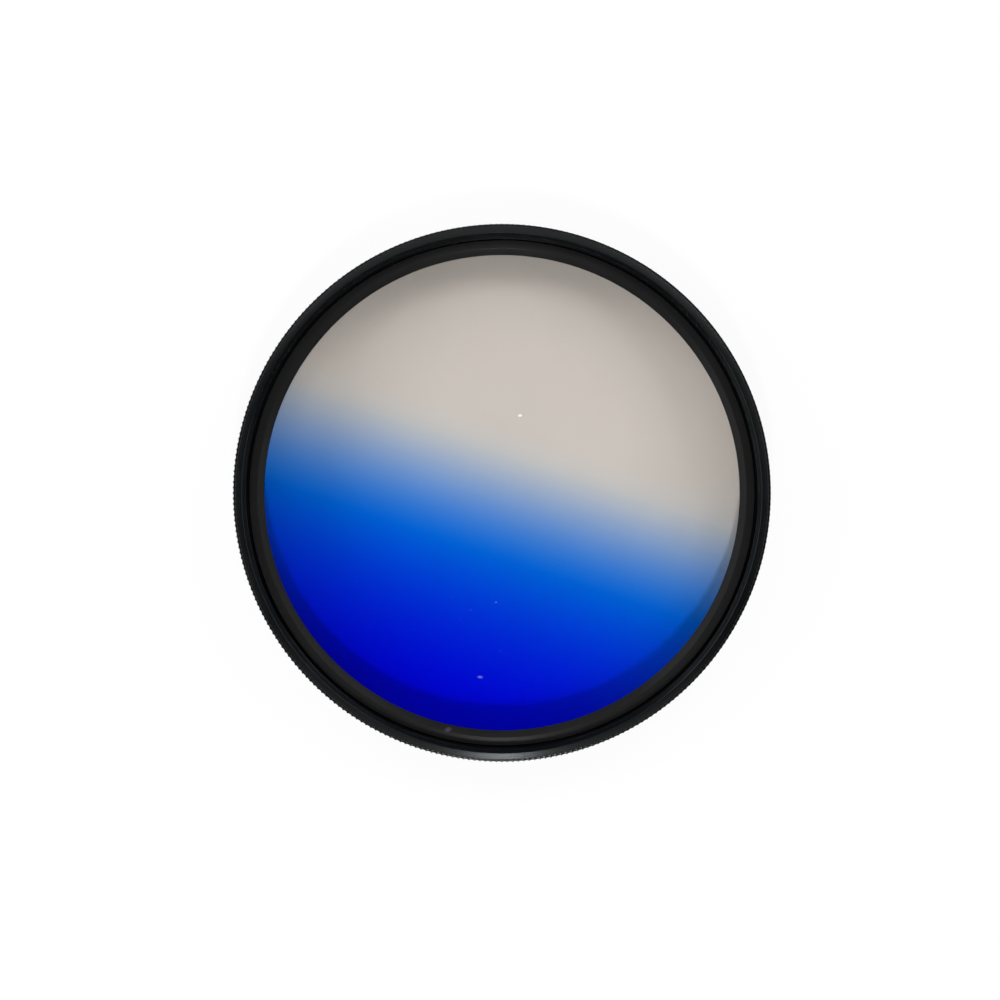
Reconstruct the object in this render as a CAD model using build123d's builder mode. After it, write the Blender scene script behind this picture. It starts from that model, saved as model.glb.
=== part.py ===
"""Round screw-in graduated colour filter: a knurled mount ring, a tinted glass disc and a
plain retaining ring.

All sizes are in millimetres. +Z is the optical axis and points out of the front, where the
retaining ring shows. The origin is on that axis, in the plane of the rear end of the male
thread, which is what the filter rests on when it lies face up.
"""
import os
from math import cos, pi, sin

from build123d import *

os.makedirs("parts", exist_ok=True)

# Filter thread, drawn as plain walls at its crests
thread_diameter = 52.0
thread_pitch = 0.75
thread_depth = 0.613 * thread_pitch
male_thread_clearance = 0.05
female_thread_bite = 0.35
entry_width = 0.4
thread_lead = 0.35

# Heights of the mount ring, measured along the axis
male_thread_height = 2.5
male_relief_width = 0.6
rim_height = 5.2
collar_height = 1.6
lip_height = 0.3

# Outside of the rim: a plain collar, the knurl in front of it, and a plain lip at the front
rim_overhang = 1.0
collar_edge = 0.15
collar_above_knurl = 0.05
knurl_depth = 0.22
knurl_pitch = 0.55
lip_below_knurl = 0.03
lip_edge = 0.08

# Front recess, down to the retaining ring
recess_depth = 2.0
female_relief_width = 0.5
relief_above_ring = 0.1

# Glass, its pocket and its seat
pocket_step = 0.3
glass_clearance = 0.1
glass_thickness = 2.0
glass_edge = 0.15
seat_width = 1.15
seat_ledge_thickness = 0.8
rear_bore_step = 0.4
rear_edge = 0.2

# Retaining ring
ring_clearance = 0.02
ring_thickness = 0.8
ring_width = 1.48
ring_land_width = 0.8
ring_slope_drop = 0.45
ring_lead = 0.1

# Radii that follow
thread_r = thread_diameter / 2
male_thread_r = thread_r - male_thread_clearance
male_relief_r = male_thread_r - thread_depth
female_thread_r = thread_r - female_thread_bite
female_relief_r = female_thread_r + thread_depth
entry_r = female_thread_r + entry_width
collar_r = thread_r + rim_overhang
knurl_crest_r = collar_r - collar_above_knurl
lip_r = knurl_crest_r - knurl_depth - lip_below_knurl
pocket_r = female_thread_r - pocket_step
glass_r = pocket_r - glass_clearance
seat_bore_r = pocket_r - seat_width
rear_bore_r = seat_bore_r + rear_bore_step
ring_r = pocket_r - ring_clearance
ring_land_r = ring_r - ring_land_width
ring_aperture_r = ring_r - ring_width

# Heights that follow
thread_end_z = male_thread_height - male_relief_width
male_relief_top_z = male_thread_height - (thread_r - male_relief_r)
knurl_z = male_thread_height + collar_height
front_z = male_thread_height + rim_height
lip_z = front_z - lip_height
ring_front_z = front_z - recess_depth
female_thread_z = ring_front_z + relief_above_ring
pocket_top_z = female_thread_z - female_relief_width
ring_back_z = ring_front_z - ring_thickness
glass_back_z = ring_back_z - glass_thickness
ledge_back_z = glass_back_z - seat_ledge_thickness

# A whole number of teeth in each quarter keeps the rim's outline the same from all four sides
knurl_teeth = 4 * round(2 * pi * knurl_crest_r / knurl_pitch / 4)


def knurl_outline():
    """Corner points of the toothed outline, a crest and a root in turn all the way round."""
    points = []
    for i in range(2 * knurl_teeth):
        radius = knurl_crest_r - knurl_depth * (i % 2)
        angle = pi * i / knurl_teeth
        points.append((radius * cos(angle), radius * sin(angle)))
    return points


# Mount ring, turned from one piece and knurled
mount_section = [
    (rear_bore_r + rear_edge, 0),
    (male_thread_r - thread_lead, 0),
    (male_thread_r, thread_lead),
    (male_thread_r, thread_end_z),
    (male_relief_r, thread_end_z),
    (male_relief_r, male_relief_top_z),
    (thread_r, male_thread_height),
    (collar_r - collar_edge, male_thread_height),
    (collar_r, male_thread_height + collar_edge),
    (collar_r, lip_z),
    (lip_r, lip_z),
    (lip_r, front_z - lip_edge),
    (lip_r - lip_edge, front_z),
    (entry_r, front_z),
    (female_thread_r, front_z - entry_width),
    (female_thread_r, female_thread_z),
    (female_relief_r, female_thread_z),
    (female_relief_r, pocket_top_z),
    (pocket_r, pocket_top_z),
    (pocket_r, glass_back_z),
    (seat_bore_r, glass_back_z),
    (seat_bore_r, ledge_back_z),
    (rear_bore_r, ledge_back_z - rear_bore_step),
    (rear_bore_r, rear_edge),
]

with BuildPart() as mount_ring:
    with BuildSketch(Plane.XZ):
        with BuildLine():
            Polyline(*mount_section, close=True)
        make_face()
    revolve(axis=Axis.Z)

    # Cutting away all that lies outside the toothed outline leaves the teeth, which stand between
    # the plain collar behind them and the lip, and the lip lies inside their roots
    with BuildSketch(Plane.XY.offset(knurl_z)):
        Circle(collar_r + rim_overhang)
        with BuildLine():
            Polyline(*knurl_outline(), close=True)
        make_face(mode=Mode.SUBTRACT)
    extrude(amount=rim_height, mode=Mode.SUBTRACT)

mount_ring.part.label = "mount_ring"
export_step(mount_ring.part, "parts/mount_ring.step")

# Glass disc, one piece with the colour in it
with BuildPart() as graduated_glass:
    with BuildSketch(Plane.XY.offset(glass_back_z)):
        Circle(glass_r)
    extrude(amount=glass_thickness)
    chamfer(graduated_glass.edges().filter_by(GeomType.CIRCLE), glass_edge)

graduated_glass.part.label = "graduated_glass"
export_step(graduated_glass.part, "parts/graduated_glass.step")

# Retaining ring, pushed into the glass pocket from the front
ring_section = [
    (ring_aperture_r, ring_back_z),
    (ring_r - ring_lead, ring_back_z),
    (ring_r, ring_back_z + ring_lead),
    (ring_r, ring_front_z),
    (ring_land_r, ring_front_z),
    (ring_aperture_r, ring_front_z - ring_slope_drop),
]

with BuildPart() as retaining_ring:
    with BuildSketch(Plane.XZ):
        with BuildLine():
            Polyline(*ring_section, close=True)
        make_face()
    revolve(axis=Axis.Z)

retaining_ring.part.label = "retaining_ring"
export_step(retaining_ring.part, "parts/retaining_ring.step")
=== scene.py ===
"""Looks of a round graduated colour filter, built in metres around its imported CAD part.

The filter lies face up on a pale floor. +Z is the optical axis, +Y is up in the photograph and
the camera looks almost straight down. Three turned pieces stand for the three CAD nodes, with the
helical threads and the small edge breaks that the plain solids leave out.
"""

import bpy
import numpy as np
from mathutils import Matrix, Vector


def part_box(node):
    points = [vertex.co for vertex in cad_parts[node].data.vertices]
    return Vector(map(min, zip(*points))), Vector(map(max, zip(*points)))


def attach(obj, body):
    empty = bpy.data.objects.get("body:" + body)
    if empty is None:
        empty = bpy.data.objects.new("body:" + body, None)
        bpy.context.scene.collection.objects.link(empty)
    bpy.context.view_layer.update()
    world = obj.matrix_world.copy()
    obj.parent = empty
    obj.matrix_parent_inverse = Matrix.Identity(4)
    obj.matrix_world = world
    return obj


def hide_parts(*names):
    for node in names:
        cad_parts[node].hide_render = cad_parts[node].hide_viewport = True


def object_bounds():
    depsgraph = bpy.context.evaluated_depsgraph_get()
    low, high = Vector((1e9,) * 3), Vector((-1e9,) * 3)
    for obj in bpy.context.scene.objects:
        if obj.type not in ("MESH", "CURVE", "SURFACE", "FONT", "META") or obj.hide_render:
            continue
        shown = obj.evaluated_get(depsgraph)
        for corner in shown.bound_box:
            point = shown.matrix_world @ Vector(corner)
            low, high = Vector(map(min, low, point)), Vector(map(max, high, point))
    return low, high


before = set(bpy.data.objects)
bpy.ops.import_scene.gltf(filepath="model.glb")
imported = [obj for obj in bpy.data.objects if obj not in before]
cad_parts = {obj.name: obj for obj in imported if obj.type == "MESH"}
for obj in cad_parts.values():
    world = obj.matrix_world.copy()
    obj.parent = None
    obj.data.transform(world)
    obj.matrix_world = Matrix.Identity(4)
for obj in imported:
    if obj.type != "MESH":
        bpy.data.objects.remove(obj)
cad_low, cad_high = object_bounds()

MM = 0.001
TURN = 2 * np.pi

# Sizes read from the frame
mount_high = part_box("mount_ring")[1]
glass_low, glass_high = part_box("graduated_glass")
ring_low, ring_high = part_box("retaining_ring")
collar_r = mount_high.x
front_z = mount_high.z
glass_r = glass_high.x
ring_r = ring_high.x
glass_back_z, glass_front_z = glass_low.z, glass_high.z
ring_back_z, ring_front_z = ring_low.z, ring_high.z

# Filter thread
rim_overhang = 1.0 * MM
thread_pitch = 0.75 * MM
thread_depth = 0.46 * MM
male_thread_clearance = 0.05 * MM
female_thread_bite = 0.35 * MM
thread_lead = 0.35 * MM
thread_start = 0.3 * MM
thread_rows = 26
groove_wave = 0.75
thread_r = collar_r - rim_overhang
male_thread_r = thread_r - male_thread_clearance
male_relief_r = male_thread_r - thread_depth
female_thread_r = thread_r - female_thread_bite
female_relief_r = female_thread_r + thread_depth

# Rim, from the shoulder behind it to its front land
rim_height = 5.2 * MM
male_relief_width = 0.6 * MM
collar_height = 1.6 * MM
collar_edge = 0.15 * MM
collar_above_knurl = 0.05 * MM
collar_points = 5
knurl_teeth = 308
knurl_depth = 0.22 * MM
knurl_crest_share = 0.2
lip_height = 0.3 * MM
lip_below_knurl = 0.03 * MM
lip_edge = 0.08 * MM
lip_inset = 0.3 * lip_edge
entry_width = 0.4 * MM
edge_break = 0.03 * MM
land_lean = np.tan(np.radians(7))
shoulder_z = front_z - rim_height
male_relief_z = shoulder_z - male_relief_width
knurl_z = shoulder_z + collar_height
lip_z = front_z - lip_height
knurl_crest_r = collar_r - collar_above_knurl
lip_r = knurl_crest_r - knurl_depth - lip_below_knurl
entry_r = female_thread_r + entry_width

# Inside of the mount
relief_above_ring = 0.1 * MM
female_relief_width = 0.5 * MM
ring_clearance = 0.02 * MM
seat_width = 1.15 * MM
seat_ledge_thickness = 0.8 * MM
rear_bore_step = 0.4 * MM
rear_edge = 0.2 * MM
pocket_lean = 0.5 * land_lean
female_thread_z = ring_front_z + relief_above_ring
pocket_top_z = female_thread_z - female_relief_width
pocket_r = ring_r + ring_clearance
seat_bore_r = pocket_r - seat_width
ledge_back_z = glass_back_z - seat_ledge_thickness
rear_bore_r = seat_bore_r + rear_bore_step

# Retaining ring and glass
ring_land_width = 0.8 * MM
ring_width = 1.48 * MM
ring_slope_drop = 0.45 * MM
ring_rounding = 0.03 * MM
rounding_points = 5
most_rounding = 0.45
glass_edge = 0.15 * MM
glass_gap = 0.01 * MM
smooth_columns = 480
edge_angle = np.radians(28)
flats_weight = 100
ring_land_r = ring_r - ring_land_width
ring_aperture_r = ring_r - ring_width

# Photograph and camera: the rim's middle and radius in the frame, and where the camera stands
photo_size = 1000
rim_centre_px = (501.8, 493.0)
rim_radius_px = 269.2
camera_distance = 0.9
camera_lean, camera_lean_azimuth = np.radians(0.6), np.radians(50)
camera_near, camera_far = 0.01, 20
sensor_width = 36.0


def rounded(corners, cut, steps):
    """A closed section with its corners rounded: each corner P gives way to a parabola between the
    points A and B at a distance cut on either side of it, (1-s)^2 A + 2s(1-s) P + s^2 B. The cut
    never takes more than a set share of a side."""
    corner = np.asarray(corners, float)
    before = np.roll(corner, 1, axis=0) - corner
    after = np.roll(corner, -1, axis=0) - corner
    length_before = np.linalg.norm(before, axis=1, keepdims=True)
    length_after = np.linalg.norm(after, axis=1, keepdims=True)
    reach = np.minimum(cut, most_rounding * np.minimum(length_before, length_after))
    first = corner + before / length_before * reach
    last = corner + after / length_after * reach
    s = np.linspace(0, 1, steps)[None, :, None]
    start, middle, end = first[:, None], corner[:, None], last[:, None]
    curve = (1 - s) ** 2 * start + 2 * s * (1 - s) * middle + s ** 2 * end
    return curve.reshape(-1, 2)


def turned_mesh(name, radius, height, angles):
    """A closed ring: the point in row k and column j lies at radius[k, j] from the axis, at the
    height height[k, j] and the angle angles[j]. Rows and columns both join up with their first."""
    rows, columns = radius.shape
    points = np.stack([radius * np.cos(angles), radius * np.sin(angles), height], axis=-1)
    index = np.arange(rows * columns).reshape(rows, columns)
    across, along = np.roll(index, -1, axis=1), np.roll(index, -1, axis=0)
    both = np.roll(across, -1, axis=0)
    faces = np.stack([index, across, both, along], axis=-1).reshape(-1, 4)
    mesh = bpy.data.meshes.new(name)
    mesh.from_pydata(points.reshape(-1, 3), [], faces)
    shade_with_edges(mesh)
    return mesh


def shade_with_edges(mesh):
    """Shades the mesh smooth, apart from edges that turn by more than the edge angle."""
    mesh.shade_smooth()
    mesh.set_sharp_from_angle(angle=edge_angle)


def add_piece(name, mesh, material, node):
    """The piece rides on the part's one body and stands for a CAD node."""
    piece = bpy.data.objects.new(name, mesh)
    bpy.context.scene.collection.objects.link(piece)
    mesh.materials.append(material)
    mesh.validate()
    mesh.update()
    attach(piece, "root")
    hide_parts(node)
    return piece


def keep_flats_flat(piece):
    """Lets large faces set the shading at their corners, so a rounding doesn't bend the look of a
    flat."""
    finish = piece.modifiers.new("flats", "WEIGHTED_NORMAL")
    finish.keep_sharp = True
    finish.weight = flats_weight


def thread_groove(height, angles):
    """Share of the thread's depth at each height and angle: a right-hand helix whose section is a
    clipped cosine wave, one wave a pitch, so it has a flat crest, sloping flanks and a flat root."""
    phase = height[:, None] / thread_pitch - angles[None, :] / TURN
    return np.clip(0.5 - groove_wave * np.cos(TURN * phase), 0, 1)


def knurl_columns():
    """Angles of the grid's columns, three for each tooth, and how deep the rim is cut at each:
    nought at both ends of the narrow crest and one at the root between two teeth."""
    tooth = np.arange(knurl_teeth)[:, None]
    place = np.array([[-knurl_crest_share / 2, knurl_crest_share / 2, 0.5]])
    angles = ((tooth + place) * TURN / knurl_teeth).ravel()
    depth = np.tile([0.0, 0.0, 1.0], knurl_teeth)
    return angles, depth


def mount_ring_mesh():
    """The turned mount: a section of rows (radius, height) carried round the axis. In the male rows
    the radius is the lesser of the section's and the thread's, in the female rows the greater, and
    in the knurled rows the teeth are taken off the section's radius. The front land, the knurl's
    top and the pocket's mouth drop a little outwards."""
    angles, tooth = knurl_columns()
    knurl_drop = land_lean * (knurl_crest_r - lip_r)
    pocket_drop = pocket_lean * (female_relief_r - pocket_r)
    land_drop = land_lean * (lip_r - lip_edge - entry_r)
    male_z = np.linspace(0, male_relief_z, thread_rows)
    male_r = np.minimum(male_thread_r, male_thread_r - thread_lead + male_z)
    female_z = np.linspace(front_z - edge_break, female_thread_z, thread_rows)
    female_r = np.maximum(female_thread_r, entry_r - (front_z - female_z))
    turn = np.linspace(0, np.pi / 2, collar_points)
    round_x, round_z = collar_edge * np.sin(turn), collar_edge * (1 - np.cos(turn))
    collar_round = np.stack([collar_r - collar_edge + round_x, shoulder_z + round_z], axis=1)
    blocks = [
        ("plain", [(rear_bore_r + rear_edge, 0)]),
        ("male", np.stack([male_r, male_z], axis=1)),
        ("plain", [(male_relief_r, male_relief_z),
                   (male_relief_r, shoulder_z - (thread_r - male_relief_r)),
                   (thread_r, shoulder_z)]),
        ("plain", collar_round),
        ("plain", [(collar_r, knurl_z - edge_break), (collar_r - edge_break, knurl_z)]),
        ("knurl", [(knurl_crest_r, knurl_z), (knurl_crest_r, lip_z - knurl_drop - edge_break),
                   (knurl_crest_r - edge_break, lip_z - knurl_drop)]),
        ("plain", [(lip_r, lip_z), (lip_r, front_z - land_drop - lip_edge),
                   (lip_r - lip_inset, front_z - land_drop - lip_inset),
                   (lip_r - lip_edge, front_z - land_drop), (entry_r + edge_break, front_z)]),
        ("female", np.stack([female_r, female_z], axis=1)),
        ("plain", [(female_relief_r, female_thread_z), (female_relief_r, pocket_top_z - pocket_drop),
                   (pocket_r, pocket_top_z), (pocket_r, glass_back_z),
                   (seat_bore_r + edge_break, glass_back_z), (seat_bore_r, glass_back_z - edge_break),
                   (seat_bore_r, ledge_back_z), (rear_bore_r, ledge_back_z - rear_bore_step),
                   (rear_bore_r, rear_edge)]),
    ]
    section = np.concatenate([np.asarray(rows, float) for _, rows in blocks])
    kind = np.concatenate([[name] * len(rows) for name, rows in blocks])
    height = np.repeat(section[:, 1:], len(angles), axis=1)
    begun = np.clip((front_z - entry_width - section[:, 1:]) / thread_start, 0, 1)
    groove = thread_depth * thread_groove(section[:, 1], angles)
    radius = np.repeat(section[:, :1], len(angles), axis=1)
    male, female, knurl = kind == "male", kind == "female", kind == "knurl"
    radius[male] = np.minimum(radius[male], male_thread_r - groove[male])
    radius[female] = np.maximum(radius[female], female_thread_r + (groove * begun)[female])
    radius[knurl] -= knurl_depth * tooth
    return turned_mesh("mount_ring_look", radius, height, angles)


def retaining_ring_mesh():
    """The thin ring: its almost flat land, sloped inner edge and inner wall as one rounded section."""
    section = rounded([
        (ring_aperture_r, ring_back_z),
        (ring_r, ring_back_z),
        (ring_r, ring_front_z - land_lean * (ring_r - ring_land_r)),
        (ring_land_r, ring_front_z),
        (ring_aperture_r, ring_front_z - ring_slope_drop),
    ], ring_rounding, rounding_points)
    angles = np.arange(smooth_columns) * TURN / smooth_columns
    radius = np.repeat(section[:, :1], smooth_columns, axis=1)
    height = np.repeat(section[:, 1:], smooth_columns, axis=1)
    return turned_mesh("retaining_ring_look", radius, height, angles)


def glass_mesh():
    """The disc: rows (radius, height) from the middle of its back round the edge to the middle of
    its front, carried round the axis, with a fan of triangles to the middle point of each face."""
    back, front = glass_back_z + glass_gap, glass_front_z - glass_gap
    section = np.array([
        (glass_r / 2, back), (glass_r - glass_edge, back), (glass_r, back + glass_edge),
        (glass_r, front - glass_edge), (glass_r - glass_edge, front), (glass_r / 2, front),
    ])
    angles = np.arange(smooth_columns) * TURN / smooth_columns
    rows = len(section)
    points = np.stack([
        section[:, :1] * np.cos(angles), section[:, :1] * np.sin(angles),
        np.repeat(section[:, 1:], smooth_columns, axis=1),
    ], axis=-1).reshape(-1, 3)
    middles = np.array([(0, 0, back), (0, 0, front)])
    index = np.arange(rows * smooth_columns).reshape(rows, smooth_columns)
    across = np.roll(index, -1, axis=1)
    quads = np.stack([index[:-1], across[:-1], across[1:], index[1:]], axis=-1).reshape(-1, 4)
    back_middle = np.full(smooth_columns, rows * smooth_columns)
    back_fan = np.stack([back_middle, across[0], index[0]], axis=-1)
    front_fan = np.stack([back_middle + 1, index[-1], across[-1]], axis=-1)
    mesh = bpy.data.meshes.new("graduated_glass_look")
    faces = quads.tolist() + back_fan.tolist() + front_fan.tolist()
    mesh.from_pydata(np.concatenate([points, middles]), [], faces)
    shade_with_edges(mesh)
    return mesh


# Node helpers for the materials
def add(tree, kind, inputs=None, **settings):
    """One node with its settings. Each input is a value, or another node's output to link."""
    made = tree.nodes.new(kind)
    for key, value in settings.items():
        setattr(made, key, value)
    for key, value in (inputs or {}).items():
        if isinstance(value, bpy.types.NodeSocket):
            tree.links.new(value, made.inputs[key])
        else:
            made.inputs[key].default_value = value
    return made


def calc(tree, operation, first, second=0.0, third=0.0):
    """The result of one math node."""
    return add(tree, "ShaderNodeMath", {0: first, 1: second, 2: third}, operation=operation).outputs[0]


def new_material(name):
    """An empty node material and its output node."""
    material = bpy.data.materials.new(name)
    material.use_nodes = True
    tree = material.node_tree
    tree.nodes.clear()
    return material, tree, tree.nodes.new("ShaderNodeOutputMaterial")


# Dust: the specks that the photograph shows on the metal and the glass, and finer flecks around them
dust_colour = (0.22, 0.21, 0.23, 1)
glass_dust_colour = (0.8, 0.8, 0.78, 1)
speck_core = 0.4
metal_specks = [(-5.4 * MM, -23.75 * MM, 0.9 * MM, 0.6 * MM, 0.4, 0.15)]
glass_specks = [
    (1.8 * MM, 7.75 * MM, 0.75 * MM, 0.3 * MM, 0.15, 0.7),
    (-2.2 * MM, -18.5 * MM, 0.7 * MM, 0.35 * MM, -0.1, 0.12),
    (-0.6 * MM, -11.0 * MM, 0.25 * MM, 0.2 * MM, 0.0, 0.12),
]
metal_flecks = {"scale": 5.0 / MM, "detail": 2.0, "begin": 0.77, "full": 0.84, "share": 0.35}
glass_flecks = {"scale": 2.5 / MM, "detail": 1.0, "begin": 0.78, "full": 0.86, "share": 0.05}
front_skin = 0.1 * MM


def specks(tree, place, spots):
    """Share of dust at each of the named spots: (x, y, length, width, lean, share), an ellipse
    whose long side leans by the angle lean from +X and whose rim fades out."""
    total = 0.0
    for x, y, length, width, lean, share in spots:
        mapped = add(tree, "ShaderNodeMapping", {
            "Vector": place, "Location": (x, y, 0), "Rotation": (0, 0, lean),
            "Scale": (length / 2, width / 2, 1),
        }, vector_type="TEXTURE")
        flat = add(tree, "ShaderNodeVectorMath", {
            0: mapped.outputs[0], 1: (1, 1, 0),
        }, operation="MULTIPLY")
        away = add(tree, "ShaderNodeVectorMath", {0: flat.outputs[0]}, operation="LENGTH")
        spot = add(tree, "ShaderNodeMapRange", {
            "Value": away.outputs["Value"], "From Min": 1.0, "From Max": speck_core,
            "To Min": 0.0, "To Max": share,
        }, interpolation_type="SMOOTHSTEP").outputs[0]
        total = calc(tree, "MAXIMUM", total, spot)
    return total


def settled_dust(tree, place, spots, flecks):
    """Share of dust all over a surface: the greater of its named spots and of its fine flecks, which
    begin and are full where a noise passes two levels."""
    noise = add(tree, "ShaderNodeTexNoise", {
        "Vector": place, "Scale": flecks["scale"], "Detail": flecks["detail"],
    })
    fine = add(tree, "ShaderNodeMapRange", {
        "Value": noise.outputs["Fac"], "From Min": flecks["begin"], "From Max": flecks["full"],
        "To Min": 0.0, "To Max": flecks["share"],
    })
    return calc(tree, "MAXIMUM", fine.outputs[0], specks(tree, place, spots))


# Turned and anodised surface: its noises, how far they change the roughness, and its bumps
tone_scale, tone_detail = 0.25 / MM, 4.0
grain_scale, grain_detail = 9.0 / MM, 2.0
marks_detail, marks_fineness = 2.0, 0.6
marks_roughness = 0.16
tone_roughness = 0.1
marks_depth, marks_strength = 0.004 * MM, 0.25
grain_depth, grain_strength = 0.003 * MM, 0.3
turned_spread = 0.9
quarter_turn = 0.25


def anodised(name, dark, pale, roughness, gloss, mirror_tint, marks_per_mm):
    """Satin black anodised aluminium, turned: fine rings round the axis in its bump and roughness,
    a slow change of tone, and a few grains of dust. Its highlights spread along the radius, as the
    turning marks make them, so the tangent runs round the axis and is turned by a quarter."""
    material, tree, output = new_material(name)
    place = tree.nodes.new("ShaderNodeTexCoord").outputs["Object"]
    axes = add(tree, "ShaderNodeSeparateXYZ", {0: place})
    x, y, z = axes.outputs
    radius = calc(tree, "SQRT", calc(tree, "MULTIPLY_ADD", x, x, calc(tree, "MULTIPLY", y, y)))
    turned = add(tree, "ShaderNodeCombineXYZ", {0: radius, 1: z})
    marks = add(tree, "ShaderNodeTexNoise", {
        "Vector": turned.outputs[0], "Scale": marks_per_mm / MM,
        "Detail": marks_detail, "Roughness": marks_fineness,
    }, noise_dimensions="2D")
    tone = add(tree, "ShaderNodeTexNoise", {
        "Vector": place, "Scale": tone_scale, "Detail": tone_detail,
    })
    grain = add(tree, "ShaderNodeTexNoise", {
        "Vector": place, "Scale": grain_scale, "Detail": grain_detail,
    })
    mix = add(tree, "ShaderNodeMix", {0: tone.outputs["Fac"], 6: dark, 7: pale}, data_type="RGBA")
    dust = settled_dust(tree, place, metal_specks, metal_flecks)
    dusty = add(tree, "ShaderNodeMix", {
        0: dust, 6: mix.outputs[2], 7: dust_colour,
    }, data_type="RGBA")
    least = roughness - (marks_roughness + tone_roughness) / 2
    slow = calc(tree, "MULTIPLY_ADD", tone.outputs["Fac"], tone_roughness, least)
    rough = calc(tree, "MULTIPLY_ADD", marks.outputs["Fac"], marks_roughness, slow)
    bump_rings = add(tree, "ShaderNodeBump", {
        "Strength": marks_strength, "Distance": marks_depth, "Height": marks.outputs["Fac"],
    })
    bump = add(tree, "ShaderNodeBump", {
        "Strength": grain_strength, "Distance": grain_depth, "Height": grain.outputs["Fac"],
        "Normal": bump_rings.outputs[0],
    })
    round_axis = add(tree, "ShaderNodeCombineXYZ", {0: calc(tree, "MULTIPLY", y, -1.0), 1: x})
    tangent = add(tree, "ShaderNodeVectorMath", {0: round_axis.outputs[0]}, operation="NORMALIZE")
    shader = add(tree, "ShaderNodeBsdfPrincipled", {
        "Base Color": dusty.outputs[2], "Roughness": rough, "Normal": bump.outputs[0],
        "Tangent": tangent.outputs[0], "Anisotropic": turned_spread,
        "Anisotropic Rotation": quarter_turn, "Specular IOR Level": gloss,
        "Specular Tint": mirror_tint,
    })
    tree.links.new(shader.outputs[0], output.inputs[0])
    return material


# Colour of the glass: light left on the clear side, where each colour begins to change and its reach
gradient_lean = np.radians(18.5)
gradient_origin = (0.25 * MM, 0.1 * MM)
gradient_softness = 1.0 * MM
clear_share = (0.75, 0.717, 0.684)
red_start, red_reach = -4.0 * MM, 10.4 * MM
green_start, green_reach, green_bend = -3.5 * MM, 31.0 * MM, 2.05
blue_start, blue_reach, blue_share = -4.3 * MM, 8.8 * MM, 0.775
deep_softness = 0.1
haze_scale, haze_detail, haze_most, haze_swing = 0.12 / MM, 3.0, 1.03, 0.06
glass_ior = 1.5
one_face_power = 0.5


def past(tree, depth, start, reach):
    """How far a depth lies past the start, as a share of the reach, from nought to one with a soft
    beginning and end."""
    share = calc(tree, "DIVIDE", calc(tree, "SUBTRACT", depth, start), reach)
    begun = calc(tree, "SMOOTH_MAX", share, 0.0, gradient_softness / reach)
    return calc(tree, "SMOOTH_MIN", begun, 1.0, deep_softness)


def glass_colour(tree):
    """The share of each colour that one pass through the glass leaves. The line where the blue starts
    leans down to the right. Measured square to it, red falls evenly and is soon gone, green falls as
    a power of what is left of its long reach, and blue rises a little."""
    place = tree.nodes.new("ShaderNodeTexCoord").outputs["Object"]
    from_origin = add(tree, "ShaderNodeVectorMath", {
        0: place, 1: (*gradient_origin, 0),
    }, operation="SUBTRACT")
    down = (-np.sin(gradient_lean), -np.cos(gradient_lean), 0)
    depth = add(tree, "ShaderNodeVectorMath", {
        0: from_origin.outputs[0], 1: down,
    }, operation="DOT_PRODUCT").outputs["Value"]
    red_left = calc(tree, "SUBTRACT", 1.0, past(tree, depth, red_start, red_reach))
    green_rest = calc(tree, "SUBTRACT", 1.0, past(tree, depth, green_start, green_reach))
    green_left = calc(tree, "POWER", green_rest, green_bend)
    blue_gain = past(tree, depth, blue_start, blue_reach)
    red = calc(tree, "MAXIMUM", calc(tree, "MULTIPLY", red_left, clear_share[0]), 0.0)
    green = calc(tree, "MULTIPLY", green_left, clear_share[1])
    blue = calc(tree, "MULTIPLY_ADD", blue_gain, blue_share - clear_share[2], clear_share[2])
    return add(tree, "ShaderNodeCombineColor", {0: red, 1: green, 2: blue}).outputs[0]


def graduated_glass():
    """Polished glass with the dye in it and a little dust on its front. Rays to the lamps and rays
    that leave a dull surface pass straight through it, tinted, so that it colours the floor without
    dark shadows. They meet two faces, so each face takes the square root of the tint."""
    material, tree, output = new_material("graduated_glass")
    place = tree.nodes.new("ShaderNodeTexCoord").outputs["Object"]
    smudge = add(tree, "ShaderNodeTexNoise", {
        "Vector": place, "Scale": haze_scale, "Detail": haze_detail,
    })
    haze = calc(tree, "MULTIPLY_ADD", smudge.outputs["Fac"], -haze_swing, haze_most)
    colour = add(tree, "ShaderNodeVectorMath", {
        0: glass_colour(tree), "Scale": haze,
    }, operation="SCALE").outputs[0]
    shader = add(tree, "ShaderNodeBsdfPrincipled", {
        "Base Color": colour, "Roughness": 0.0, "IOR": glass_ior, "Transmission Weight": 1.0,
    })
    each_face = add(tree, "ShaderNodeGamma", {"Color": colour, "Gamma": one_face_power})
    clear = add(tree, "ShaderNodeBsdfTransparent", {0: each_face.outputs[0]})
    path = tree.nodes.new("ShaderNodeLightPath").outputs
    soft_ray = calc(tree, "MAXIMUM", path["Is Shadow Ray"], path["Is Diffuse Ray"])
    mix = add(tree, "ShaderNodeMixShader", {0: soft_ray, 1: shader.outputs[0], 2: clear.outputs[0]})
    height = add(tree, "ShaderNodeSeparateXYZ", {0: place}).outputs[2]
    on_front = calc(tree, "GREATER_THAN", height, glass_front_z - front_skin)
    dust = calc(tree, "MULTIPLY", settled_dust(tree, place, glass_specks, glass_flecks), on_front)
    grain = add(tree, "ShaderNodeBsdfDiffuse", {0: glass_dust_colour})
    dusty = add(tree, "ShaderNodeMixShader", {0: dust, 1: mix.outputs[0], 2: grain.outputs[0]})
    tree.links.new(dusty.outputs[0], output.inputs[0])
    return material


# Floor, lamps, world and camera
floor_size = 3.0
floor_gap = 0.02 * MM
floor_colour = (0.86, 0.86, 0.86, 1)
camera_white = 0.92
wall_light, ceiling_light = 0.08, 0.01
wall_top, ceiling_start = 0.35, 0.9
lamp_distance = 0.9


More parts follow.
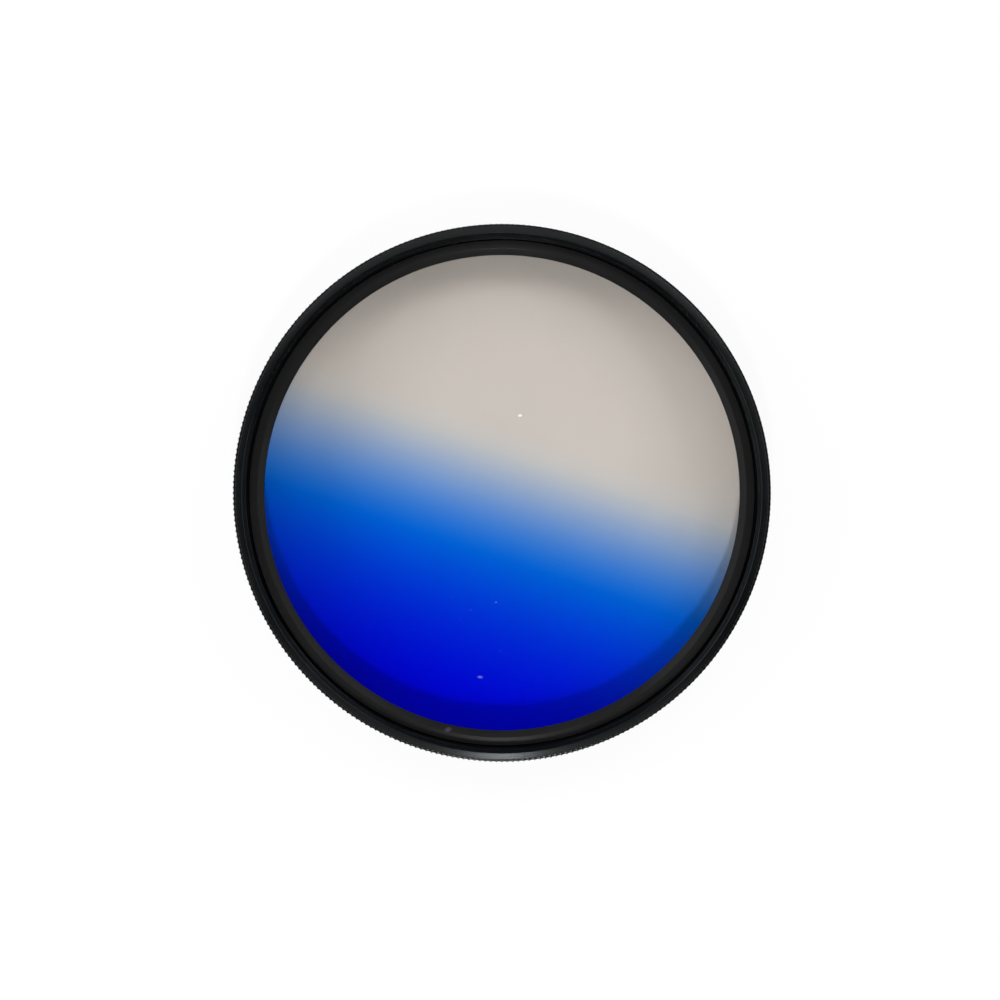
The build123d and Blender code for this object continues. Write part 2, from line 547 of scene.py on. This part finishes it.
def floor_material():
    """A pale floor that the camera sees nearly white, so the object's shadow stays on it faintly.
    Mirrors see it like the camera does. Through the glass it is seen at its plain level."""
    material, tree, output = new_material("pale_floor")
    dull = add(tree, "ShaderNodeBsdfDiffuse", {0: floor_colour})
    white = add(tree, "ShaderNodeEmission", {0: (1, 1, 1, 1), 1: 1.0})
    path = tree.nodes.new("ShaderNodeLightPath").outputs
    outside_glass = calc(tree, "SUBTRACT", 1.0, path["Is Transmission Ray"])
    mirrored = calc(tree, "MULTIPLY", path["Is Glossy Ray"], outside_glass)
    direct = calc(tree, "MAXIMUM", path["Is Camera Ray"], mirrored)
    seen = calc(tree, "MULTIPLY", direct, camera_white)
    mix = add(tree, "ShaderNodeMixShader", {0: seen, 1: dull.outputs[0], 2: white.outputs[0]})
    tree.links.new(mix.outputs[0], output.inputs[0])
    return material


def add_floor():
    """A flat square just under the height that the CAD part stands on."""
    half, level = floor_size / 2, cad_low.z - floor_gap
    mesh = bpy.data.meshes.new("floor")
    corners = [(-half, -half, level), (half, -half, level), (half, half, level), (-half, half, level)]
    mesh.from_pydata(corners, [], [(0, 1, 2, 3)])
    floor = bpy.data.objects.new("floor", mesh)
    bpy.context.scene.collection.objects.link(floor)
    mesh.materials.append(floor_material())


def add_lamp(name, azimuth, elevation, size, share):
    """A soft box that points at the filter. Azimuth is counted from +X round to +Y. share is the
    part of a plain light level that it gives the floor, for which the power is 4 pi d^2 / sin(e)."""
    a, e = np.radians(azimuth), np.radians(elevation)
    away = Vector((np.cos(a) * np.cos(e), np.sin(a) * np.cos(e), np.sin(e)))
    data = bpy.data.lights.new(name, "AREA")
    data.shape = "RECTANGLE"
    data.size, data.size_y = size
    data.energy = share * 4 * np.pi * lamp_distance ** 2 / np.sin(e)
    lamp = bpy.data.objects.new(name, data)
    lamp.location = away * lamp_distance
    lamp.rotation_mode = "QUATERNION"
    lamp.rotation_quaternion = away.to_track_quat("Z", "Y")
    bpy.context.scene.collection.objects.link(lamp)


def set_world():
    """Dim walls all round and a dark ceiling, so that glass seen from above stays clear of veils.
    The height is that of a direction's unit vector. The camera itself sees white past the floor."""
    world = bpy.data.worlds.new("studio")
    bpy.context.scene.world = world
    world.use_nodes = True
    tree = world.node_tree
    tree.nodes.clear()
    direction = tree.nodes.new("ShaderNodeTexCoord").outputs["Generated"]
    up = add(tree, "ShaderNodeSeparateXYZ", {0: direction}).outputs[2]
    wall = add(tree, "ShaderNodeMapRange", {
        "Value": up, "From Min": wall_top, "From Max": ceiling_start,
        "To Min": wall_light, "To Max": ceiling_light,
    }, interpolation_type="SMOOTHSTEP").outputs[0]
    seen = tree.nodes.new("ShaderNodeLightPath").outputs["Is Camera Ray"]
    strength = calc(tree, "MAXIMUM", wall, seen)
    light = add(tree, "ShaderNodeBackground", {0: (1, 1, 1, 1), 1: strength})
    tree.links.new(light.outputs[0], add(tree, "ShaderNodeOutputWorld").inputs[0])


def add_camera():
    """Almost straight above the filter, leaning a little to the upper right, and placed so that the
    rim's middle and radius fall where the photograph has them."""
    metres_per_px = knurl_crest_r / rim_radius_px
    data = bpy.data.cameras.new("camera")
    data.sensor_width = sensor_width
    data.lens = sensor_width * camera_distance / (photo_size * metres_per_px)
    data.clip_start, data.clip_end = camera_near, camera_far
    camera = bpy.data.objects.new("camera", data)
    aim = Vector((
        (photo_size / 2 - rim_centre_px[0]) * metres_per_px,
        (rim_centre_px[1] - photo_size / 2) * metres_per_px,
        lip_z,
    ))
    away = Vector((
        np.sin(camera_lean) * np.cos(camera_lean_azimuth),
        np.sin(camera_lean) * np.sin(camera_lean_azimuth),
        np.cos(camera_lean),
    ))
    camera.location = aim + away * camera_distance
    camera.rotation_mode = "QUATERNION"
    camera.rotation_quaternion = Vector((0, 0, 1)).rotation_difference(away)
    bpy.context.scene.collection.objects.link(camera)
    bpy.context.scene.camera = camera


black_mount = anodised(
    "black_anodised_mount", dark=(0.002, 0.0022, 0.0025, 1), pale=(0.0035, 0.0038, 0.0042, 1),
    roughness=0.26, gloss=0.15, mirror_tint=(0.93, 1.0, 1.0, 1), marks_per_mm=7.0)
black_ring = anodised(
    "black_anodised_ring", dark=(0.009, 0.0091, 0.009, 1), pale=(0.0135, 0.0136, 0.0133, 1),
    roughness=0.31, gloss=0.065, mirror_tint=(1.0, 1.0, 1.0, 1), marks_per_mm=9.0)

add_piece("mount_ring_look", mount_ring_mesh(), black_mount, "mount_ring")
retainer = add_piece(
    "retaining_ring_look", retaining_ring_mesh(), black_ring, "retaining_ring")
keep_flats_flat(retainer)
add_piece(
    "graduated_glass_look", glass_mesh(), graduated_glass(), "graduated_glass")

add_floor()
add_lamp("near_strip", azimuth=269, elevation=64, size=(0.045, 0.09), share=0.25)
add_lamp("near_softbox", azimuth=268, elevation=60, size=(1.1, 0.2), share=0.15)
add_lamp("far_softbox", azimuth=90, elevation=61, size=(1.3, 0.28), share=0.3)
add_lamp("left_softbox", azimuth=172, elevation=34, size=(1.4, 0.35), share=0.34)
add_lamp("right_softbox", azimuth=24, elevation=40, size=(1.2, 0.35), share=0.27)
set_world()
add_camera()

bpy.context.scene.view_settings.view_transform = "Standard"
